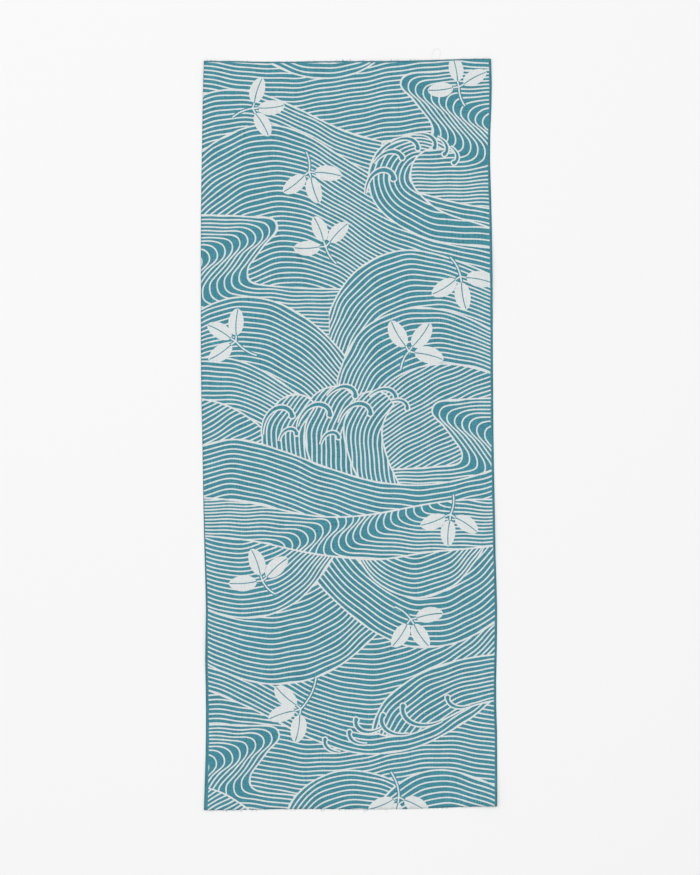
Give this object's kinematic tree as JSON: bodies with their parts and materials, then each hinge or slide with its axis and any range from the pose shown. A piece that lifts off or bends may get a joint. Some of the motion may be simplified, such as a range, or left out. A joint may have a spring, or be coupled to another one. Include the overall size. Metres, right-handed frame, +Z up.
{
  "type": "tenugui towel",
  "caption": "Long thin flat cotton hand towel with selvedged sides and raw cut ends, resist-dyed with wave lines and leaf sprigs, for drying, wrapping or hanging.",
  "frame": {"origin": "middle of the underside of the cloth, on the surface it lies on", "axes": "+X across the cloth from the left selvedge to the right one, +Y along the cloth, +Z up out of its printed face"},
  "size_m": [0.3564, 0.903, 0.001],
  "materials": {
    "dyed_cotton": "matt plain-weave cotton, teal dye with undyed off-white lines and leaves"
  },
  "bodies": {
    "root": {"towel_cloth": "dyed_cotton"}
  },
  "joints": []
}
